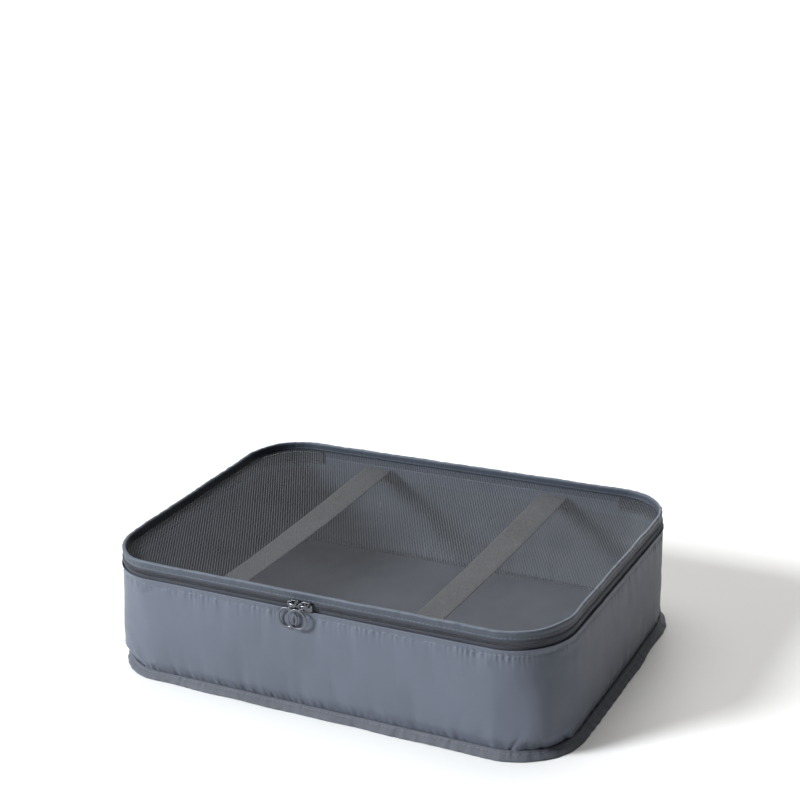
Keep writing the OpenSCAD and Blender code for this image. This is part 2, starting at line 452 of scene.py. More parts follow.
NYLON = fabric("satin_nylon", (0.096, 0.108, 0.138), "plain", 0.42, 0.03, 0.46, specular=0.3,
               sheen=0.06)
LINING = fabric("nylon_inside", (0.092, 0.101, 0.122), "plain", 0.42, 0.03, 0.6, specular=0.25,
                sheen=0.05)
BINDING = fabric("twill_binding", (0.080, 0.086, 0.103), "twill", 0.9, 0.09, 0.62, sheen=0.08)
# the rim's top edge carries a painted highlight, up to 1.6 times lighter
RIM = fabric("rim_binding_cloth", (0.047, 0.057, 0.075), "twill", 0.8, 0.06, 0.5, sheen=0.10,
             top_highlight=(TOP_Z - 1.3 * MM, TOP_Z - 0.2 * MM, 1.6))
TAPE = fabric("zipper_tape", (0.034, 0.036, 0.047), "herringbone", 0.7, 0.1, 0.62)
ELASTIC = fabric("heather_elastic", (0.060, 0.059, 0.058), "ribbed", 1.25, 0.16, 0.75, heather=0.4)
WEBBING = fabric("ribbed_webbing", (0.110, 0.118, 0.137), "ribbed", 1.0, 0.16, 0.6, heather=0.12)
NET = fabric("knitted_net", (0.055, 0.060, 0.070), "plain", 0.3, 0.03, 0.6, mottle=0.15)
COIL = plastic("nylon_coil", (0.054, 0.057, 0.071), 0.40)
METAL = plated_metal("gunmetal", (0.115, 0.118, 0.130), 0.24)
PULL_METAL = plated_metal("satin_gunmetal", (0.150, 0.156, 0.175), 0.36)
THREAD = thread("blue_grey_thread", (0.190, 0.205, 0.245))
MID_THREAD = thread("mid_grey_thread", (0.150, 0.158, 0.182))
DARK_THREAD = thread("dark_thread", (0.070, 0.075, 0.090))

# ---- the walls' skin, by cloth simulation

SKIN_COLUMNS, SKIN_ROWS = 420, 29
SKIN_FOOT = SEAM_Z - 1.5 * MM
FABRIC = 0.9 * MM                        # thickness of the wall fabric as it shows
STITCH_DROP = 5.2 * MM                   # the hem's stitches run this far below its edge
PATCH_X, PATCH_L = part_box("handle_tab_right")[0].x, 20 * MM
HANDLE_Z = (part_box("handle_tab_right")[0].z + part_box("handle_tab_right")[1].z) / 2


def settle(points, faces, pinned, eased, frames=22):
    """Lets a cloth relax under a light outward pressure, with no gravity, and returns where its points go.
    eased says, from 0 to 1, where the cloth is cut a little larger than the frame that it is sewn into."""
    cloth = piece("cloth", points, faces.tolist(), NYLON)
    for name, weights in (("pinned", pinned), ("eased", eased)):
        group = cloth.vertex_groups.new(name=name)
        for k, weight in enumerate(weights.ravel().tolist()):
            group.add([k], weight, "REPLACE")
    modifier = cloth.modifiers.new("Cloth", "CLOTH")
    modifier.point_cache.frame_end = frames
    settings = {
        "quality": 6, "mass": 0.12, "tension_stiffness": 14, "compression_stiffness": 14,
        "shear_stiffness": 6, "bending_stiffness": 3, "vertex_group_mass": "pinned",
        "vertex_group_shrink": "eased", "shrink_min": -0.002, "shrink_max": -0.012,
        "use_pressure": True, "uniform_pressure_force": 4}
    for key, value in settings.items():
        setattr(modifier.settings, key, value)
    modifier.settings.effector_weights.gravity = 0
    for step in range(1, frames + 1):
        bpy.context.scene.frame_set(step)
    settled = cloth.evaluated_get(bpy.context.evaluated_depsgraph_get()).data
    moved = np.zeros(points.size)
    settled.vertices.foreach_get("co", moved)
    bpy.context.scene.frame_set(1)
    bpy.data.objects.remove(cloth)
    return moved.reshape(points.shape)


def stays_flat(s, z):
    """From 0 to 1: how much relief is left near the handle's patches and the hinge's sewn strip."""
    left = 1
    for side in (-1, 1):
        middle = s_at(side * (PATCH_X + PATCH_L / 2), "back")
        left = left * (1 - bump(s, middle, 0.9 * PATCH_L) * bump(z, HANDLE_Z, 13 * MM))
    on_hinge = smooth((s - ZIP_END) / (8 * MM) + 1) * smooth((ROUND - s) / (8 * MM) + 1)
    return left * (1 - on_hinge * smooth((z - HEM_Z + 16 * MM) / (8 * MM)))


def skin_moves():
    """How far the skin's points move from the plain outline, by cloth simulation."""
    z = np.linspace(SKIN_FOOT, HEM_Z, SKIN_ROWS)
    s, z = np.meshgrid(round_part(SKIN_COLUMNS), z, indexing="ij")
    up = (z - SEAM_Z) / (HEM_Z - SEAM_Z)
    out = out_of_wall(s)
    flat = place(s, 0, z)
    faces = grid(SKIN_COLUMNS, SKIN_ROWS, True)[0]
    pinned = ((up < 0.02) | (up > 0.955)).astype(float)
    eased = np.clip(bump(up, 1.0, 0.22) + bump(up, 0.0, 0.2) + 0.12, 0, 1)
    uneven = 0.25 * MM * swell(s, z, 45, 40)
    moves = settle(flat + out * uneven[..., None], faces, pinned, eased) - flat
    depth = (moves * out).sum(-1)
    along = moves - out * depth[..., None]
    room = np.where(depth > 0, 6 * MM - 4.2 * MM * smooth((z - 50 * MM) / (24 * MM)), 0.7 * MM)
    depth = room * np.tanh(depth / room)
    calm = 0.35 * bump(up, 0.5, 0.3)
    for reach in (1, 2, 3):
        beside = (np.roll(depth, reach, 0) + np.roll(depth, -reach, 0)) / 2
        depth = (1 - calm) * depth + calm * beside
    along = np.clip(along, -1.5 * MM, 1.5 * MM)
    return (out * depth[..., None] + along) * stays_flat(s, z)[..., None]


SKIN_MOVES = skin_moves()


def corner_middle(corner):
    """The distance along the outline of a corner's middle. Corner 0 is at the left of the hinge side."""
    return corner * ARC + (corner + 1) // 2 * 2 * FLAT_Y + corner // 2 * 2 * FLAT_X + ARC / 2


def sewn_relief(s, z):
    """The outsets that sewing gives the walls: puckers at hem and seam, creases at the corners."""
    down, up = HEM_Z - z, z - SEAM_Z
    gather = 0.6 + 0.4 * ripple(s, 70, 260, 2) - 0.3 * bump(s, ZIP_END - ARC - FLAT_Y, 110 * MM)
    below = down - STITCH_DROP
    even = np.sin(2 * pi * s * round(ROUND / (4.7 * MM)) / ROUND + 5 * ripple(s, 25, 90, 5))
    pucker = 0.13 * MM * even * (0.8 + 0.5 * ripple(s, 12, 50, 6))
    pucker += 0.24 * MM * ripple(s, 3.4, 8, 1)
    relief = pucker * (0.4 + gather) * (bump(below, 1 * MM, 3 * MM) + 0.25 * bump(below, 4 * MM, 6 * MM))
    fade = smooth(down / (9 * MM)) * np.exp(-down / (16 * MM))
    relief += 0.75 * MM * ripple(s, 14, 44, 3) * gather * fade
    relief += 0.40 * MM * ripple(s, 11, 40, 4) * np.exp(-np.abs(up - 3 * MM) / (8 * MM))
    relief += 0.48 * MM * ripple(s, 5, 15, 9) * np.exp(-np.abs(up - 2.5 * MM) / (2.8 * MM))
    relief += 0.95 * MM * (1 - smooth(down / STITCH_DROP))
    relief -= 0.38 * MM * bump(down, STITCH_DROP, 1.1 * MM)
    relief -= 0.9 * MM * np.exp(-np.maximum(up, 0) / (2.5 * MM))
    fade = np.exp(-np.maximum(up, 0) / (8 * MM))
    for corner in range(4):
        for turn, slant, depth in ((-0.34, 0.5, 1.5), (-0.02, -0.25, 1.1), (0.3, -0.7, 1.7)):
            centre = corner_middle(corner) + turn * ARC + slant * up
            relief -= depth * MM * bump(s, centre, 1.5 * MM) * fade
            relief += 0.8 * depth * MM * bump(s, centre + 5 * MM, 3.5 * MM) * fade
    return (relief + belly(s, up)) * (0.25 + 0.75 * stays_flat(s, z))


def belly(s, up):
    """How the slack walls stand out: low down all round, most on the front, and squarer than the outline at
    the corners, except by the right end of the hinge side, where they are drawn in."""
    square = 0
    for corner in range(4):
        turn = (s - corner_middle(corner)) / CORNER_R
        square = square + np.where(np.abs(turn) < pi / 4, np.cos(2 * turn) ** 4, 0)
    low = smooth(up / (13 * MM)) * (1 - np.clip((up - 13 * MM) / (62 * MM), 0, 1)) ** 1.3
    full = 2.0 + 0.7 * ripple(s, 160, 420, 8) + 1.2 * bump(s, FRONT_MID - 50 * MM, 110 * MM)
    full = full * (1 - 0.8 * bump(s, BACK_MID, 110 * MM)) * (1 - 0.4 * square)
    tall = smooth(up / (14 * MM)) * (1 - 0.8 * smooth((up - 12 * MM) / (62 * MM)))
    tall = tall * smooth((HEM_Z - SEAM_Z - up - 3 * MM) / (16 * MM))
    drawn_in = bump(s, corner_middle(3), 85 * MM)
    out = full * MM * low + 4.6 * MM * square * tall
    return out * (1 - drawn_in) - 3.0 * MM * drawn_in * np.exp(-np.maximum(up, 0) / (45 * MM))


def skin(s, z, inset=0.0):
    """Points on the walls' skin, or an inset inside it, at distances along the outline and heights."""
    s, z, inset = np.broadcast_arrays(np.asarray(s, float), np.asarray(z, float), inset)
    row = s % ROUND / (ROUND / SKIN_COLUMNS)
    column = np.clip((z - SKIN_FOOT) / (HEM_Z - SKIN_FOOT) * (SKIN_ROWS - 1), 0, SKIN_ROWS - 1)
    return place(s, sewn_relief(s % ROUND, z) - inset, z) + cubic(SKIN_MOVES, row, column)


# ---- stitches

STITCH, STITCH_PITCH = 2.7 * MM, 3.5 * MM


def stitches(name, places, out, body, slot, material=THREAD, seed=0):
    """A row of stitches, each a little out of line, pressed into the cloth."""
    rng = np.random.default_rng(SEED + 100 + seed)
    tilt = rng.normal(0, 0.05, len(places))
    ways = frames_of(places, out, tilt)
    places = places + out * 0.05 * MM + ways[..., 1] * rng.normal(0, 0.05 * MM, len(places))[:, None]
    row = many(name, capsule(STITCH, 0.42 * MM, 0.34 * MM), places, ways, material)
    belongs(row, body, slot)


def box_stitches(name, centre, along, size, out, slot):
    """A sewn box with a cross in it, on an upright face of the case."""
    half = np.array(size) / 2
    corners = np.array([(-1, -1), (1, -1), (1, 1), (-1, 1), (-1, -1), (1, 1), (1, -1), (-1, 1)]) * half
    places, ways = [], []
    for a, b in zip(corners, corners[1:]):
        run = np.linalg.norm(b - a)
        count = max(2, round(run / (2.6 * MM)))
        ahead = along * (b - a)[0] / run + UP * (b - a)[1] / run
        for t in (np.arange(count) + 0.5) / count:
            spot = a + (b - a) * t
            places.append(centre + along * spot[0] + UP * spot[1])
            ways.append(np.stack([ahead, np.cross(out, ahead), out], -1))
    sewn = many(name, capsule(2.1 * MM, 0.4 * MM, 0.36 * MM), np.array(places), np.array(ways), THREAD)
    belongs(sewn, "case", slot)


# ---- case

def make_walls():
    """The wall fabric: one skin round the case, with a rounded hem and an inner face."""
    s = round_part(1600)
    rows = [(z, 0.0) for z in np.concatenate([
        steps(SKIN_FOOT, SEAM_Z + 14 * MM, 1.5 * MM), steps(SEAM_Z + 17 * MM, HEM_Z - 17 * MM, 3.2 * MM),
        steps(HEM_Z - 15 * MM, HEM_Z - 0.5 * MM, 0.9 * MM)])]
    rows += [(HEM_Z - 0.15 * MM, 0.14 * MM), (HEM_Z, FABRIC / 2), (HEM_Z - 0.15 * MM, FABRIC - 0.14 * MM)]
    inner = np.append(np.linspace(HEM_Z - 0.8 * MM, SEAM_Z + 17 * MM, 7),
                      np.linspace(SEAM_Z + 13 * MM, SKIN_FOOT, 7))
    rows += [(z, FABRIC) for z in inner]
    z, inset = np.array(rows).T
    points = skin(s[:, None], z[None], inset[None])
    faces, i, j = grid(len(s), len(rows), True, True)
    run, across = np.append(s, ROUND), lengths(np.stack([inset, z], -1), closed=True)
    walls = piece("wall_fabric", points, faces, NYLON, np.stack([run[i], across[j]], -1))
    walls.data.materials.append(LINING)
    inside = j.min(1) > len(rows) - len(inner)
    walls.data.polygons.foreach_set("material_index", inside.astype(np.int32))
    belongs(walls, "case", "wall_fabric", "wall_band", "wall_back")


def make_hem_stitches():
    s = np.arange(0, ZIP_END, STITCH_PITCH) + STITCH_PITCH / 2
    z = HEM_Z - STITCH_DROP + 0.12 * MM * ripple(s, 15, 60, 20)
    stitches("hem_stitches", skin(s, z, 0.05 * MM), out_of_wall(s), "case", "wall_fabric")
    s = s[1:-1]
    stitches("hem_bobbin_stitches", skin(s, z[1:-1], FABRIC), -out_of_wall(s), "case", "wall_fabric",
             DARK_THREAD, seed=1)


def half_length(y, outset):
    """Half the outline's length, moved out by an outset, at places y along its depth."""
    radius = CORNER_R + outset
    past = np.clip(np.abs(y) - FLAT_Y, 0, radius)
    return FLAT_X + np.sqrt(np.maximum(radius**2 - past**2, 0))


def make_base():
    """The base fabric, a little slack, sewn into the bottom seam."""
    deep = np.sin(np.linspace(-pi / 2, pi / 2, 120))
    u, v = np.meshgrid(np.linspace(-1, 1, 150), deep, indexing="ij")
    y = v * (HALF_W - 0.6 * MM)
    x = u * half_length(y, -0.6 * MM)
    free = smooth((1 - np.maximum(np.abs(u), np.abs(v))) / 0.1)
    z = 1.7 * MM + (0.9 * MM * swell(x, y, 85, 50) + 0.3 * MM * swell(x, y, 26, 51)) * free
    z = np.maximum(z, 1.0 * MM)
    faces, i, j = grid(150, 120)
    uv = np.stack([x[i, j], y[i, j]], -1)
    base = piece("base_fabric", np.stack([x, y, z], -1), faces, LINING, uv)
    thick = base.modifiers.new("Thickness", "SOLIDIFY")
    thick.thickness, thick.offset = 0.8 * MM, -1
    belongs(base, "case", "wall_fabric", "base_panel")


SKIRT = np.array([
    (0.1, 6.4), (-0.9, 6.2), (-1.3, 3.0), (-1.3, 0.3), (-0.6, 0.06), (3.0, 0.06), (5.9, 0.08), (6.6, 0.3),
    (6.95, 0.75), (6.85, 1.3), (6.3, 1.85), (5.2, 2.75), (3.9, 3.75), (2.9, 4.5), (2.35, 4.75), (1.9, 5.25),
    (1.3, 5.95), (0.75, 6.35)]) * MM
SKIRT_STITCH = np.array([2.35, 4.78]) * MM


def skirt_wave(s, outset, z):
    """The bound seam's unevenness, most at its free edge: drawn in at two corners, never in the ground."""
    share = np.clip(outset / SKIRT_OUT, 0, 1)
    front_left, back_right = bump(s, corner_middle(1), 75 * MM), bump(s, corner_middle(3), 85 * MM)
    outset = outset - 1.5 * MM * share * (front_left + back_right) - 3.0 * MM * back_right
    slow, quick = ripple(s, 45, 160, 60), ripple(s, 9, 22, 61)
    lift = (0.5 * ripple(s, 60, 200, 62) + 0.28 * quick) * MM * share
    lift += 0.22 * MM * ripple(s, 4, 9, 63) * bump(share, 0.45, 0.4)
    return outset + (0.6 * slow + 0.34 * quick) * MM * share, np.maximum(z + lift, 0.05 * MM)


def make_skirt():
    """The bound bottom seam: a folded tape that stands out from the walls and rests on the ground."""
    s = round_part(1100)
    outset, z = skirt_wave(s[:, None], *SKIRT.T[:, None])
    skirt = sweep("bottom_binding_tape", s, np.stack([outset, z], -1), BINDING)
    belongs(skirt, "case", "binding_fabric", "bottom_binding")
    s = np.arange(0, ROUND - STITCH_PITCH / 2, STITCH_PITCH)
    outset, z = skirt_wave(s, *SKIRT_STITCH)
    tipped = out_of_wall(s) * 0.6 + UP * 0.8
    stitches("bottom_stitches", place(s, outset, z), tipped, "case", "binding_fabric", MID_THREAD, seed=2)


def make_tape(name, points, body, node):
    """One half of the zipper's tape, from outsets and heights over the meshing line in millimetres. Its ends
    run on a little past the zipper, sewn under."""
    s = steps(-6 * MM, ZIP_END + 6 * MM, 2 * MM)
    profile = np.repeat([np.array(points) * MM + (0, MEET_Z)], len(s), 0)
    profile[..., 0] += 0.06 * MM * ripple(s, 14, 50, 70)[:, None]
    belongs(sweep(name, s, profile, TAPE, closed_path=False), body, "zip_tape", node)


TOOTH_PITCH = 1.24 * MM


def make_coil(name, side, body, node):
    """One half of the nylon coil: a tooth for each turn, which reaches over the meshing line."""
    s = np.arange(1 * MM, ZIP_END - 1 * MM, TOOTH_PITCH) + (TOOTH_PITCH / 2 if side > 0 else 0)
    out = out_of_wall(s)
    ahead = np.cross(UP, out)
    lean = 0.10 * side
    long_way = UP * cos(lean) + ahead * sin(lean)
    ways = np.stack([long_way, np.cross(out, long_way), out], -1)
    teeth = many(name, capsule(2.35 * MM, 0.56 * MM, 0.78 * MM, sides=8),
                 place(s, -0.42 * MM, MEET_Z + side * 0.72 * MM), ways, COIL)
    belongs(teeth, body, "zip_coil", node)
    ways = np.stack([ahead, np.cross(out, ahead), out], -1)
    sewn = many(name + "_threads", capsule(1.15 * MM, 0.36 * MM, 0.5 * MM),
                place(s, -0.30 * MM, MEET_Z + side * 1.62 * MM), ways, DARK_THREAD)
    belongs(sewn, body, "zip_tape")


def make_zipper():
    make_tape("lower_tape", [
        (-0.95, -10.8), (-0.92, -6.3), (-0.80, -3.7), (-0.74, -1.7), (-0.86, -0.3), (-1.10, -0.08),
        (-1.36, -0.3), (-1.30, -1.7), (-1.34, -3.7), (-1.50, -6.3), (-1.50, -10.8)], "case", "lower_zip_tape")
    make_tape("upper_tape", [
        (-1.10, 0.08), (-0.86, 0.3), (-0.74, 1.7), (-0.80, 3.1), (-1.0, 4.7), (-1.5, 4.7), (-1.34, 3.1),
        (-1.30, 1.7), (-1.36, 0.3)], "lid", "upper_zip_tape")
    make_coil("lower_coil", -1, "case", "lower_zip_coil")
    make_coil("upper_coil", 1, "lid", "upper_zip_coil")


def make_end_cap(side, middle):
    """A folded scrap of fabric sewn over an end of the zipper."""
    node, name = f"zip_end_cap_{side}", f"{side}_end_cap"
    z0, z1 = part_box(node)[0].z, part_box(node)[1].z
    s = steps(middle - 5 * MM, middle + 5 * MM, 0.5 * MM)
    fullness = 0.30 * MM * smooth(np.minimum(s - s[0], s[-1] - s) / (1.2 * MM))
    profile = [[(0.0, z0), (0.35 * MM + full, z0 + 0.3 * MM), (0.55 * MM + full, z0 + 1.5 * MM),
                (0.55 * MM + full, (z0 + z1) / 2), (0.5 * MM + full, z1 - 1.2 * MM),
                (0.3 * MM + full, z1 - 0.2 * MM), (0.0, z1), (-0.3 * MM, z1 - 0.2 * MM),
                (-0.3 * MM, z0 + 0.3 * MM)] for full in fullness]
    cap = sweep(name, s, np.array(profile), NYLON, closed_path=False)
    belongs(cap, "case", "wall_fabric", node)
    out = out_of_wall([middle])[0]
    centre = place([middle], 0.85 * MM, z0 + 4 * MM)[0]
    box_stitches(name + "_stitches", centre, np.cross(UP, out), (6.5 * MM, 5 * MM), out, "wall_fabric")


def make_strap(side):
    """An elastic strap from front to back under the hem, with both ends sewn down inside the walls."""
    node = f"strap_{side}"
    lo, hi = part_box(node)
    x, bend, sag = (lo.x + hi.x) / 2, 3 * MM, 2.6 * MM
    z = np.linspace(lo.z, hi.z - 3.8 * MM, 14)
    front, back = (skin(np.full(14, s_at(x, end)), z, FABRIC + 0.62 * MM) for end in ("front", "back"))
    turn = np.linspace(0.15, 1, 6) * pi / 2
    over, climb = bend * (1 - np.cos(turn)), bend * np.sin(turn)
    rise = front[-1] + np.stack([0 * turn, over, climb], -1)
    fall = back[-1] + np.stack([0 * turn, -over, climb], -1)
    y = np.linspace(front[-1][1] + bend, back[-1][1] - bend, 90)
    slack = sag * (1 - np.linspace(-1, 1, 90) ** 2)
    middle = np.stack([0 * y, y, rise[-1][2] - slack], -1)[1:-1]
    path = np.concatenate([front, rise, middle, fall[::-1], back[::-1]])
    path[:, 0] = x
    twist = 0.05 * np.sin(np.linspace(0, 2 * pi, len(path)))
    across = np.stack([1 + 0 * twist, 0 * twist, twist], -1)
    strap = strap_along(f"{side}_strap_elastic", path, across, hi.x - lo.x, 1.2 * MM, ELASTIC)
    belongs(strap, "case", "strap_elastic", node)
    for end, row, way in (("front", front, 1.0), ("back", back, -1.0)):
        out = np.array([0, way, 0])
        box_stitches(f"{side}_strap_{end}_stitches", row[6] + out * 0.7 * MM, np.array([1.0, 0, 0]),
                     (20 * MM, 9 * MM), out, "strap_elastic")


# ---- lid

def make_net():
    """The mesh window: a net of six-sided holes, stretched in the rim and sagging a little."""
    pitch, rib, sag = 2.4 * MM, 0.46 * MM, 3.4 * MM
    reach_q, reach_r = ceil(1.35 * HALF_L / pitch) + 8, ceil(HALF_W / pitch * 1.16) + 2
    q, r = np.meshgrid(np.arange(-reach_q, reach_q + 1), np.arange(-reach_r, reach_r + 1), indexing="ij")
    centre = np.stack([pitch * (q + r / 2), pitch * sqrt(3) / 2 * r], -1).reshape(-1, 2)
    turn = pi / 6 + np.arange(6) * pi / 3
    hole = (pitch - rib) / sqrt(3) * np.stack([np.cos(turn), np.sin(turn)], -1)
    points = (centre[:, None] + hole).reshape(-1, 2)
    inside = (np.abs(q) < reach_q) & (np.abs(r) < reach_r)
    home = np.flatnonzero(inside.ravel())
    next_to = [home + len(q[0]), home + 1, home + 1 - len(q[0])]      # the cells at 0, 60 and 120 degrees

    def polygon(*corners):
        return np.stack([cells * 6 + number % 6 for cells, number in corners], -1)

    ribs = [polygon((home, m - 1), (next_to[m], m + 3), (next_to[m], m + 2), (home, m)) for m in range(3)]
    knots = [polygon((home, m), (next_to[m], m + 2), (next_to[m + 1], m + 4)) for m in range(2)]
    limit = RIM_IN + 1.2 * MM
    across, deep = np.abs(points.T)
    fits = (deep < HALF_W + limit) & (across < half_length(deep, limit))
    kept = [f[fits[f].all(1)] for f in ribs + knots]
    used, numbers = np.unique(np.concatenate([f.ravel() for f in kept]), return_inverse=True)
    parts = np.split(numbers, np.cumsum([f.size for f in kept])[:-1])
    faces = [face for f, part in zip(kept, parts) for face in part.reshape(f.shape).tolist()]
    x, y = points[used].T
    slack = (1 - (x / HALF_L) ** 2) * (1 - (y / HALF_W) ** 2)
    z = RIM_Z + 0.45 * MM - sag * slack**0.8 + 0.35 * MM * swell(x, y, 70, 80) * smooth(slack * 4)
    net = piece("mesh_net", np.stack([x, y, z], -1), faces, NET, np.stack([x, y], -1)[numbers])
    belongs(net, "lid", "mesh_fabric", "mesh_panel")


RIM_PROFILE = np.array([
    (-1.00, 0), (-0.78, 0.2), (-0.66, 0.65), (-0.72, 1.1), (-0.90, 1.45), (-0.98, 2.1), (-0.94, 2.9),
    (-0.84, 3.7), (-0.60, 4.5), (-0.40, 5.3), (-0.44, 6.0), (-0.78, 6.6), (-1.35, 6.92), (-1.95, 7.0),
    (-2.55, 6.88), (-3.05, 6.5), (-3.36, 5.7), (-3.40, 4.5), (-3.22, 3.3), (-3.10, 2.3), (-3.06, 1.6),
    (-3.36, 1.0), (-3.1, 0.4), (-2.7, 0)]) * MM + (0, RIM_Z)
RIM_STITCH_Z = RIM_Z + 1.45 * MM


def rim_wave(s, outset, z):
    """The rim's own unevenness, most at its top edge."""
    share = np.clip((z - RIM_Z) / (TOP_Z - RIM_Z), 0, 1)
    slow, quick = ripple(s, 40, 150, 90), ripple(s, 7, 20, 91)
    lift = (0.26 * ripple(s, 30, 120, 92) + 0.14 * quick) * MM * share
    gather = 0.14 * MM * ripple(s, 4, 9, 93) * bump(share, 0.4, 0.35)
    return outset + gather + (0.36 * slow + 0.16 * quick) * MM * share, z + lift


def make_rim():
    """The lid's bound rim: a folded tape that stands up round the net, sewn at its foot."""
    s = round_part(1100)
    outset, z = rim_wave(s[:, None], *RIM_PROFILE.T[:, None])
    rim = sweep("rim_tape", s, np.stack([outset, z], -1), RIM)
    belongs(rim, "lid", "rim_fabric", "rim_binding")
    s = np.arange(0, ROUND - STITCH_PITCH / 2, STITCH_PITCH)
    rows = (("rim_stitches", -0.82 * MM, 1, MID_THREAD), ("rim_inner_stitches", -3.10 * MM, -1, DARK_THREAD))
    for name, outset, way, yarn in rows:
        outset, z = rim_wave(s, outset, RIM_STITCH_Z)
        stitches(name, place(s, outset, z), way * out_of_wall(s), "lid", "rim_fabric", yarn, seed=3)


def make_hinge():
    """The strip of wall fabric that joins case and lid."""
    s = steps(ZIP_END + 0.4 * MM, ROUND - 0.4 * MM, 2 * MM)
    outset, over_hem = np.array([
        (0.10, -6.0), (0.55, -5.9), (0.78, -5.3), (0.66, -4.4), (0.78, -3.4), (0.80, -2.4), (0.70, -1.4),
        (0.76, -0.4), (0.62, 0.8), (0.40, 2.0), (0.22, 3.2), (0.12, 4.4), (0.0, 5.6), (-0.22, 6.8),
        (-0.55, 8.0), (-1.30, 8.0), (-0.98, 6.8), (-0.80, 5.6), (-0.68, 4.4), (-0.55, 3.2), (-0.40, 2.0),
        (-0.20, 0.8), (0.0, -0.4), (0.02, -3.4)]).T * MM
    uneven = 0.12 * MM * ripple(s, 10, 40, 95)[:, None] * smooth(over_hem / (3 * MM))
    profile = np.stack(np.broadcast_arrays(outset + uneven, HEM_Z + over_hem), -1)
    strip = sweep("hinge_fold", s, profile, NYLON, closed_path=False)
    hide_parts("hinge_strip")
    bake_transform(strip)
    s = np.arange(ZIP_END + 2 * MM, ROUND - 2 * MM, STITCH_PITCH)
    for number, under_hem in enumerate((4.4 * MM, 1.4 * MM)):
        row = place(s, 0.70 * MM, HEM_Z - under_hem)
        stitches(f"hinge_stitches_{number + 1}", row, out_of_wall(s), "case", "wall_fabric", seed=5 + number)


# ---- sliders and pulls

def on_front(points):
    """Points from x, height and outset on the front."""
    points = np.asarray(points, float)
    return np.stack([points[..., 0], -HALF_W - points[..., 2], points[..., 1]], -1)


def cast_plate(name, shape, low, high, rounding, segments=3):
    """A metal plate with rounded edges on the front, between two outsets, from the points of its outline."""
    n = len(shape)
    points = [(*p, o) for o in (low, high) for p in shape]
    faces = [list(range(n))[::-1], list(range(n, 2 * n))]
    faces += [[k, (k + 1) % n, n + (k + 1) % n, n + k] for k in range(n)]
    obj = piece(name, on_front(points), faces, METAL)
    bevel = obj.modifiers.new("Bevel", "BEVEL")
    bevel.width, bevel.segments, bevel.limit_method = rounding, segments, "ANGLE"
    bevel.angle_limit = radians(25)
    bevel.harden_normals = True
    return obj


def rectangle(x0, x1, y0, y1):
    return [(x0, y0), (x1, y0), (x1, y1), (x0, y1)]


def make_slider(side, wide):
    """A slider: a shield-shaped front plate, lips over the coil, a back plate and a bridge. wide says which
    way along X its wide end points."""
    node, body = f"slider_{side}", f"{side}_slider"
    lo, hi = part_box(node)
    x0, half, w = (lo.x + hi.x) / 2, (hi.x - lo.x) / 2, (hi.z - lo.z) / 2
    out = -HALF_W - lo.y
    half_shape = [(-1, 0.62), (-0.55, 0.98), (0.1, 1), (0.72, 0.96), (1, 0.66)]
    shape = [(x, -z) for x, z in half_shape] + half_shape[::-1]
    shape = [(x0 + wide * half * x, MEET_Z + w * z) for x, z in shape][::wide]
    plate = cast_plate(f"{side}_slider_plate", shape, out - 1.2 * MM, out, 0.45 * MM)
    belongs(plate, body, "slider_metal", node)
    for k, way in enumerate((-1, 1)):
        edge = MEET_Z + way * (w - 0.45 * MM)
        shape = rectangle(x0 - 0.62 * half, x0 + 0.62 * half, edge - 0.4 * MM, edge + 0.4 * MM)
        lip = cast_plate(f"{side}_slider_lip_{k + 1}", shape, out - 1.85 * MM, out - 0.9 * MM, 0.18 * MM, 2)
        belongs(lip, body, "slider_metal")
    shape = rectangle(x0 - half, x0 + half, MEET_Z - 0.75 * w, MEET_Z + 0.75 * w)
    inside = -HALF_W - hi.y
    back = cast_plate(f"{side}_slider_back", shape, inside, inside + 1 * MM, 0.35 * MM)
    belongs(back, body, "slider_metal")
    make_bridge(side, x0, out - 0.3 * MM)


def make_bridge(side, x0, foot):
    """The square arch that holds a slider's pull, from an outset just inside the front plate."""
    node = f"bridge_{side}"
    lo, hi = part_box(node)
    span, top, height = (hi.x - lo.x) / 2 - 0.75 * MM, -HALF_W - lo.y - 0.45 * MM, (lo.z + hi.z) / 2
    r = 1.0 * MM
    leg = [(span, foot), (span, foot + 1.2 * MM)]
    leg += [(span - r * (1 - cos(a)), top - r + r * sin(a)) for a in np.linspace(0, pi / 2, 6)]
    leg += [(0.4 * span, top + 0.12 * MM)]
    arch = [(-x, o) for x, o in leg] + [(0, top + 0.16 * MM)] + leg[::-1]
    path = on_front([(x0 + x, height, o) for x, o in arch])
    ways = np.tile(UP, (len(path), 1))
    bridge = strap_along(f"{side}_slider_bridge", path, ways, 1.75 * MM, 1.0 * MM, METAL)
    belongs(bridge, f"{side}_slider", "slider_metal", node)


def ring(centre, radius, band, thick, sides=64):
    """A flat ring with a rounded section on the front, as points and faces."""
    turn = np.arange(sides)[:, None] * 2 * pi / sides
    section = np.arange(16) * 2 * pi / 16
    c, k = np.cos(section), np.sin(section)
    far = radius + band / 2 * np.sign(c) * np.abs(c) ** 0.7 + 0 * turn
    up = thick / 2 * np.sign(k) * np.abs(k) ** 0.7 + 0 * turn
    points = np.stack([far * np.cos(turn), far * np.sin(turn), up], -1) + centre
    return on_front(points).reshape(-1, 3), grid(sides, 16, True, True)[0]


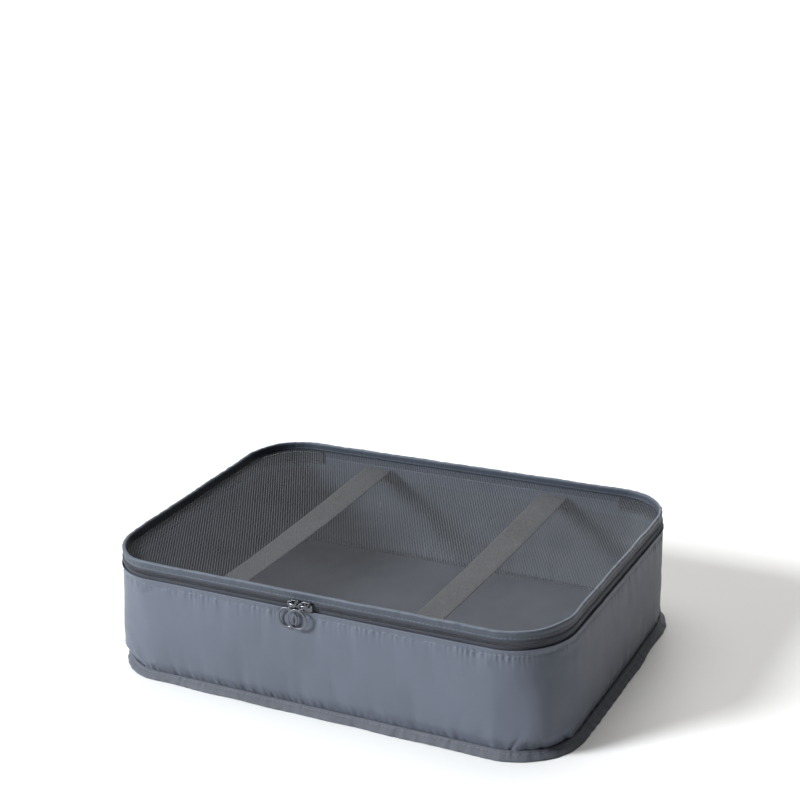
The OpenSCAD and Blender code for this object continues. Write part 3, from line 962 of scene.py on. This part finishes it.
def make_pull(side):
    """A ring pull, cast as one: a flat ring, a short neck, and the eye that hangs on the post."""
    node = f"pull_{side}"
    lo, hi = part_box(node)
    outer, band, thick = 9.2 * MM, 2.2 * MM, hi.y - lo.y
    centre = np.array([lo.x + outer, lo.z + outer])
    out = -HALF_W - (lo.y + hi.y) / 2
    post = np.array(pivot(f"{side}_pull_swing"))[[0, 2]]
    way = unit(post - centre)
    eye = post - way * 0.9 * MM
    parts = [ring((*centre, out), outer - band / 2, band, thick),
             ring((*eye, out), 2.2 * MM, 1.2 * MM, thick, 40)]
    points, faces = capsule(3.6 * MM, 2.0 * MM, 0.86 * thick, 12)
    middle = centre + way * (outer + 0.5 * MM)
    turned = middle + points[:, :1] * way + points[:, 1:2] * np.array([-way[1], way[0]])
    parts.append((on_front(np.concatenate([turned, out + points[:, 2:]], 1)), faces))
    all_points, all_faces = np.zeros((0, 3)), []
    for points, faces in parts:
        all_faces += [[v + len(all_points) for v in f] for f in faces]
        all_points = np.concatenate([all_points, points])
    pull = piece(f"{side}_ring_pull", all_points, all_faces, PULL_METAL)
    cast = pull.modifiers.new("Cast", "REMESH")
    cast.mode, cast.voxel_size, cast.use_smooth_shade = "VOXEL", 0.17 * MM, True
    polish = pull.modifiers.new("Polish", "SMOOTH")
    polish.factor, polish.iterations = 0.5, 3
    belongs(pull, f"{side}_pull", "slider_metal", node)


# ---- handle

def make_handle():
    """The webbing handle, flat on the wall at its sewn ends, then out and down in a slack arch, in two
    halves."""
    axis_y, axis_z = pivot("handle_swing")[1:]
    droop = radians(40)
    arc_r, rise = 111 * MM, 22.5 * MM
    leave, land = 60 * MM, 77 * MM
    wall = HALF_W + 1.0 * MM - axis_y
    slope = -leave / sqrt(arc_r**2 - leave**2) * (land - leave)
    x = np.concatenate([[0, 0.1 * MM], steps(3 * MM, leave, 3 * MM)[:-1], steps(leave, land, 1 * MM),
                        steps(land, PATCH_X + PATCH_L, 2 * MM)[1:]])
    t = np.clip((x - leave) / (land - leave), 0, 1)
    arch = rise - arc_r + np.sqrt(arc_r**2 - np.minimum(x, leave) ** 2)
    ease = 3 * t**2 - 2 * t**3
    run_in = (1 - ease) * arch[-1] + (t**3 - 2 * t**2 + t) * slope + ease * wall
    out = np.where(x < leave, arch, run_in)
    angle = droop * smooth((land - 1 * MM - x) / (18 * MM))
    for side, sign in (("left", -1), ("right", 1)):
        path = np.stack([sign * x, axis_y + out * np.cos(angle), axis_z - out * np.sin(angle)], -1)
        across = np.stack([0 * x, np.sin(angle), np.cos(angle)], -1)
        strap = strap_along(f"handle_{side}_half", path, across, 12 * MM, 1.9 * MM, WEBBING)
        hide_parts("handle_webbing", f"handle_tab_{side}")
        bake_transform(strap)
        centre = np.array([sign * (PATCH_X + PATCH_L / 2 + 1 * MM), HALF_W + 1.95 * MM, HANDLE_Z])
        box_stitches(f"handle_{side}_stitches", centre, np.array([1.0, 0, 0]), (13 * MM, 8.4 * MM),
                     np.array([0, 1.0, 0]), "handle_webbing")


make_walls()
make_hem_stitches()
make_base()
make_skirt()
make_zipper()
make_end_cap("left", 0.0)
make_end_cap("right", ZIP_END)
make_strap("left")
make_strap("right")
make_net()
make_rim()
make_hinge()
make_slider("left", 1)
make_slider("right", -1)
make_pull("left")
make_pull("right")
make_handle()

# ---- stage, light and camera

def make_stage():
    """A plain pale floor."""
    n = material_nodes("pale_floor")
    tone = n.ramp(n.noise(0.6, 2.0), (0.3, (0.82, 0.81, 0.79)), (0.7, (0.85, 0.84, 0.82)))
    material = n.set(Base_Color=tone, Roughness=0.8, Specular_IOR_Level=0.2)
    half = 12.0
    corners = [(x, y, 0) for x, y in rectangle(-half, half, -half, half)]
    floor = piece("floor", corners, [[0, 1, 2, 3]], material)


def lamp(kind, name, place_at, aim, power, colour, **settings):
    light = bpy.data.lights.new(name, kind)
    light.energy, light.color = power, colour
    for key, value in settings.items():
        setattr(light, key, value)
    made = added(name, light)
    made.location = place_at
    made.rotation_mode = "QUATERNION"
    made.rotation_quaternion = (Vector(aim) - Vector(place_at)).to_track_quat("-Z", "Y")


def make_lights():
    """A key low on the left of the front, a broad one overhead, a cool one by the left end, one behind."""
    lamp("SUN", "key", (-1.92, -1.73, 1.52), (0, 0, 0), 4.2, (0.97, 1, 1.05), angle=radians(16))
    lamp("SUN", "overhead", (-0.15, 0.3, 1), (0, 0, 0), 1.85, (1, 1, 1), angle=radians(60))
    lamp("AREA", "cool_side", (-0.98, -0.95, 0.62), (-0.15, -0.1, 0.04), 7.5, (0.8, 0.94, 1), shape="DISK",
         size=0.6)
    lamp("AREA", "behind", (-0.5, 2.3, 0.9), (0, 0, 0.05), 20, (1, 1, 1), shape="DISK", size=1.4)


def make_surround():
    """A world that is pale at the horizon, less so on the right, and dim above."""
    world = bpy.data.worlds.new("surround")
    n = Nodes(world, "Background")
    horizon = n.map(n.place_part("Generated", "Z"), 0.54, 0.03, 0.06, 0.5)
    less_right = n.map(n.place_part("Generated", "X"), 1.0, 0.28, -0.2, 0.7)
    n.set(Color=(1.0, 0.99, 0.98, 1), Strength=n.math("MULTIPLY", horizon, less_right))
    bpy.context.scene.world = world


def make_camera():
    """A long lens at the photograph's angle."""
    azimuth, elevation, roll = radians(28.58), radians(20.21), radians(-3.07)
    target, distance = (0.05524, -0.07801, 0.24877), 1.2709
    turn = Matrix.Rotation(azimuth, 4, "Z") @ Matrix.Rotation(pi / 2 - elevation, 4, "X")
    turn = turn @ Matrix.Rotation(roll, 4, "Z")
    data = bpy.data.cameras.new("camera")
    data.lens, data.sensor_width = 76.44, 36
    camera = added("camera", data)
    camera.matrix_world = Matrix.Translation(target) @ turn @ Matrix.Translation((0, 0, distance))
    bpy.context.scene.camera = camera


make_stage()
make_lights()
make_surround()
make_camera()
bpy.context.scene.view_settings.view_transform = "Standard"
